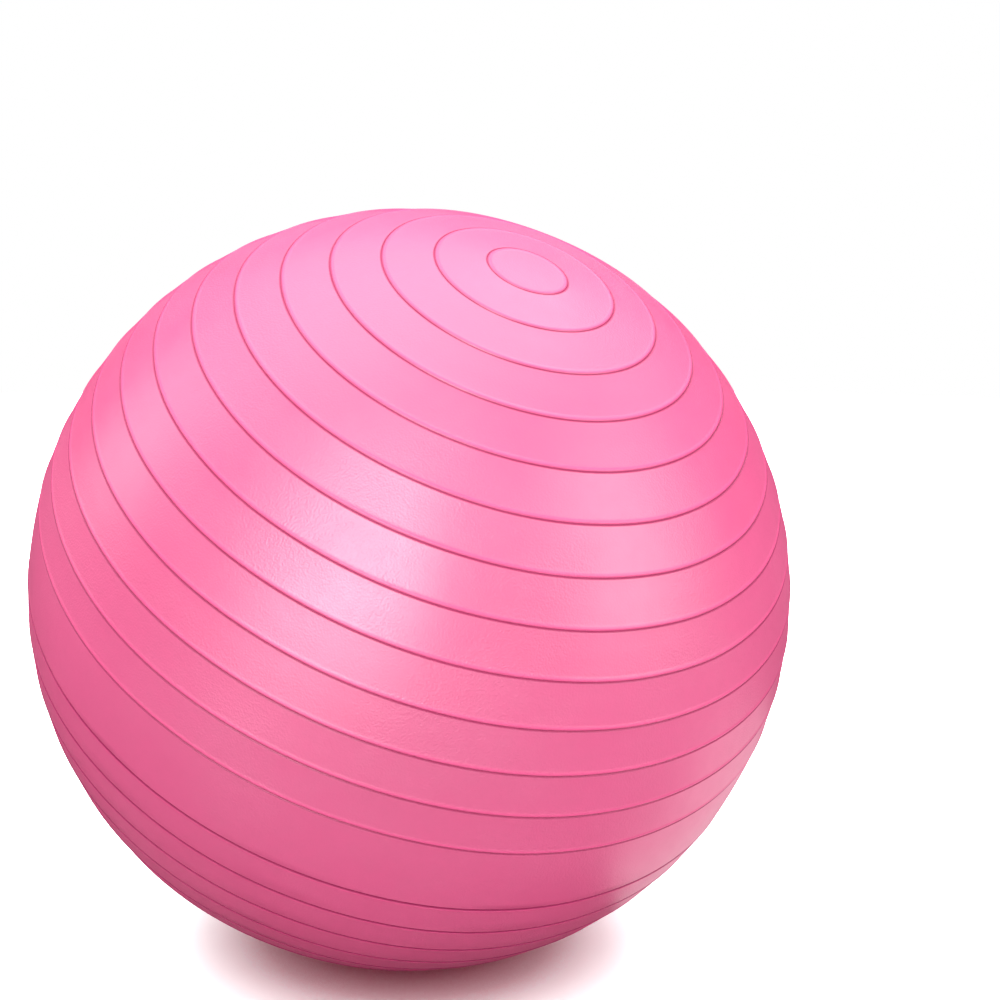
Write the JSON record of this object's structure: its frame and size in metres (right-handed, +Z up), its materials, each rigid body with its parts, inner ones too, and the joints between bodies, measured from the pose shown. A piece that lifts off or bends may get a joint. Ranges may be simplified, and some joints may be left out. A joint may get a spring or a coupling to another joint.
{
  "type": "exercise ball",
  "caption": "Inflatable ribbed exercise ball for physiotherapy and gym use, a hollow PVC ball with a valve seat in its wall and a pull-out plug.",
  "frame": {"origin": "on the floor, in the middle of the flat that the ball rests on, straight under the ball's centre", "axes": "+Z up. The axis of the rib rings leans 31 degrees from +Z, toward +X and -Y. The valve points toward -X and +Y, half-way up the back."},
  "size_m": [0.4513, 0.4514, 0.4487],
  "materials": {
    "ball_pvc": "semi-gloss with a fine moulded grain",
    "valve_pvc": "satin",
    "plug_plastic": "satin"
  },
  "bodies": {
    "ball": {"ball_shell": "ball_pvc", "valve_seat": "valve_pvc"},
    "plug": {"valve_plug": "plug_plastic"}
  },
  "joints": [
    {"name": "plug_pull", "type": "slide", "parent": "ball", "child": "plug", "axis": [-0.4578, 0.7214, 0.5195], "range_m": [0, 0.035]}
  ]
}
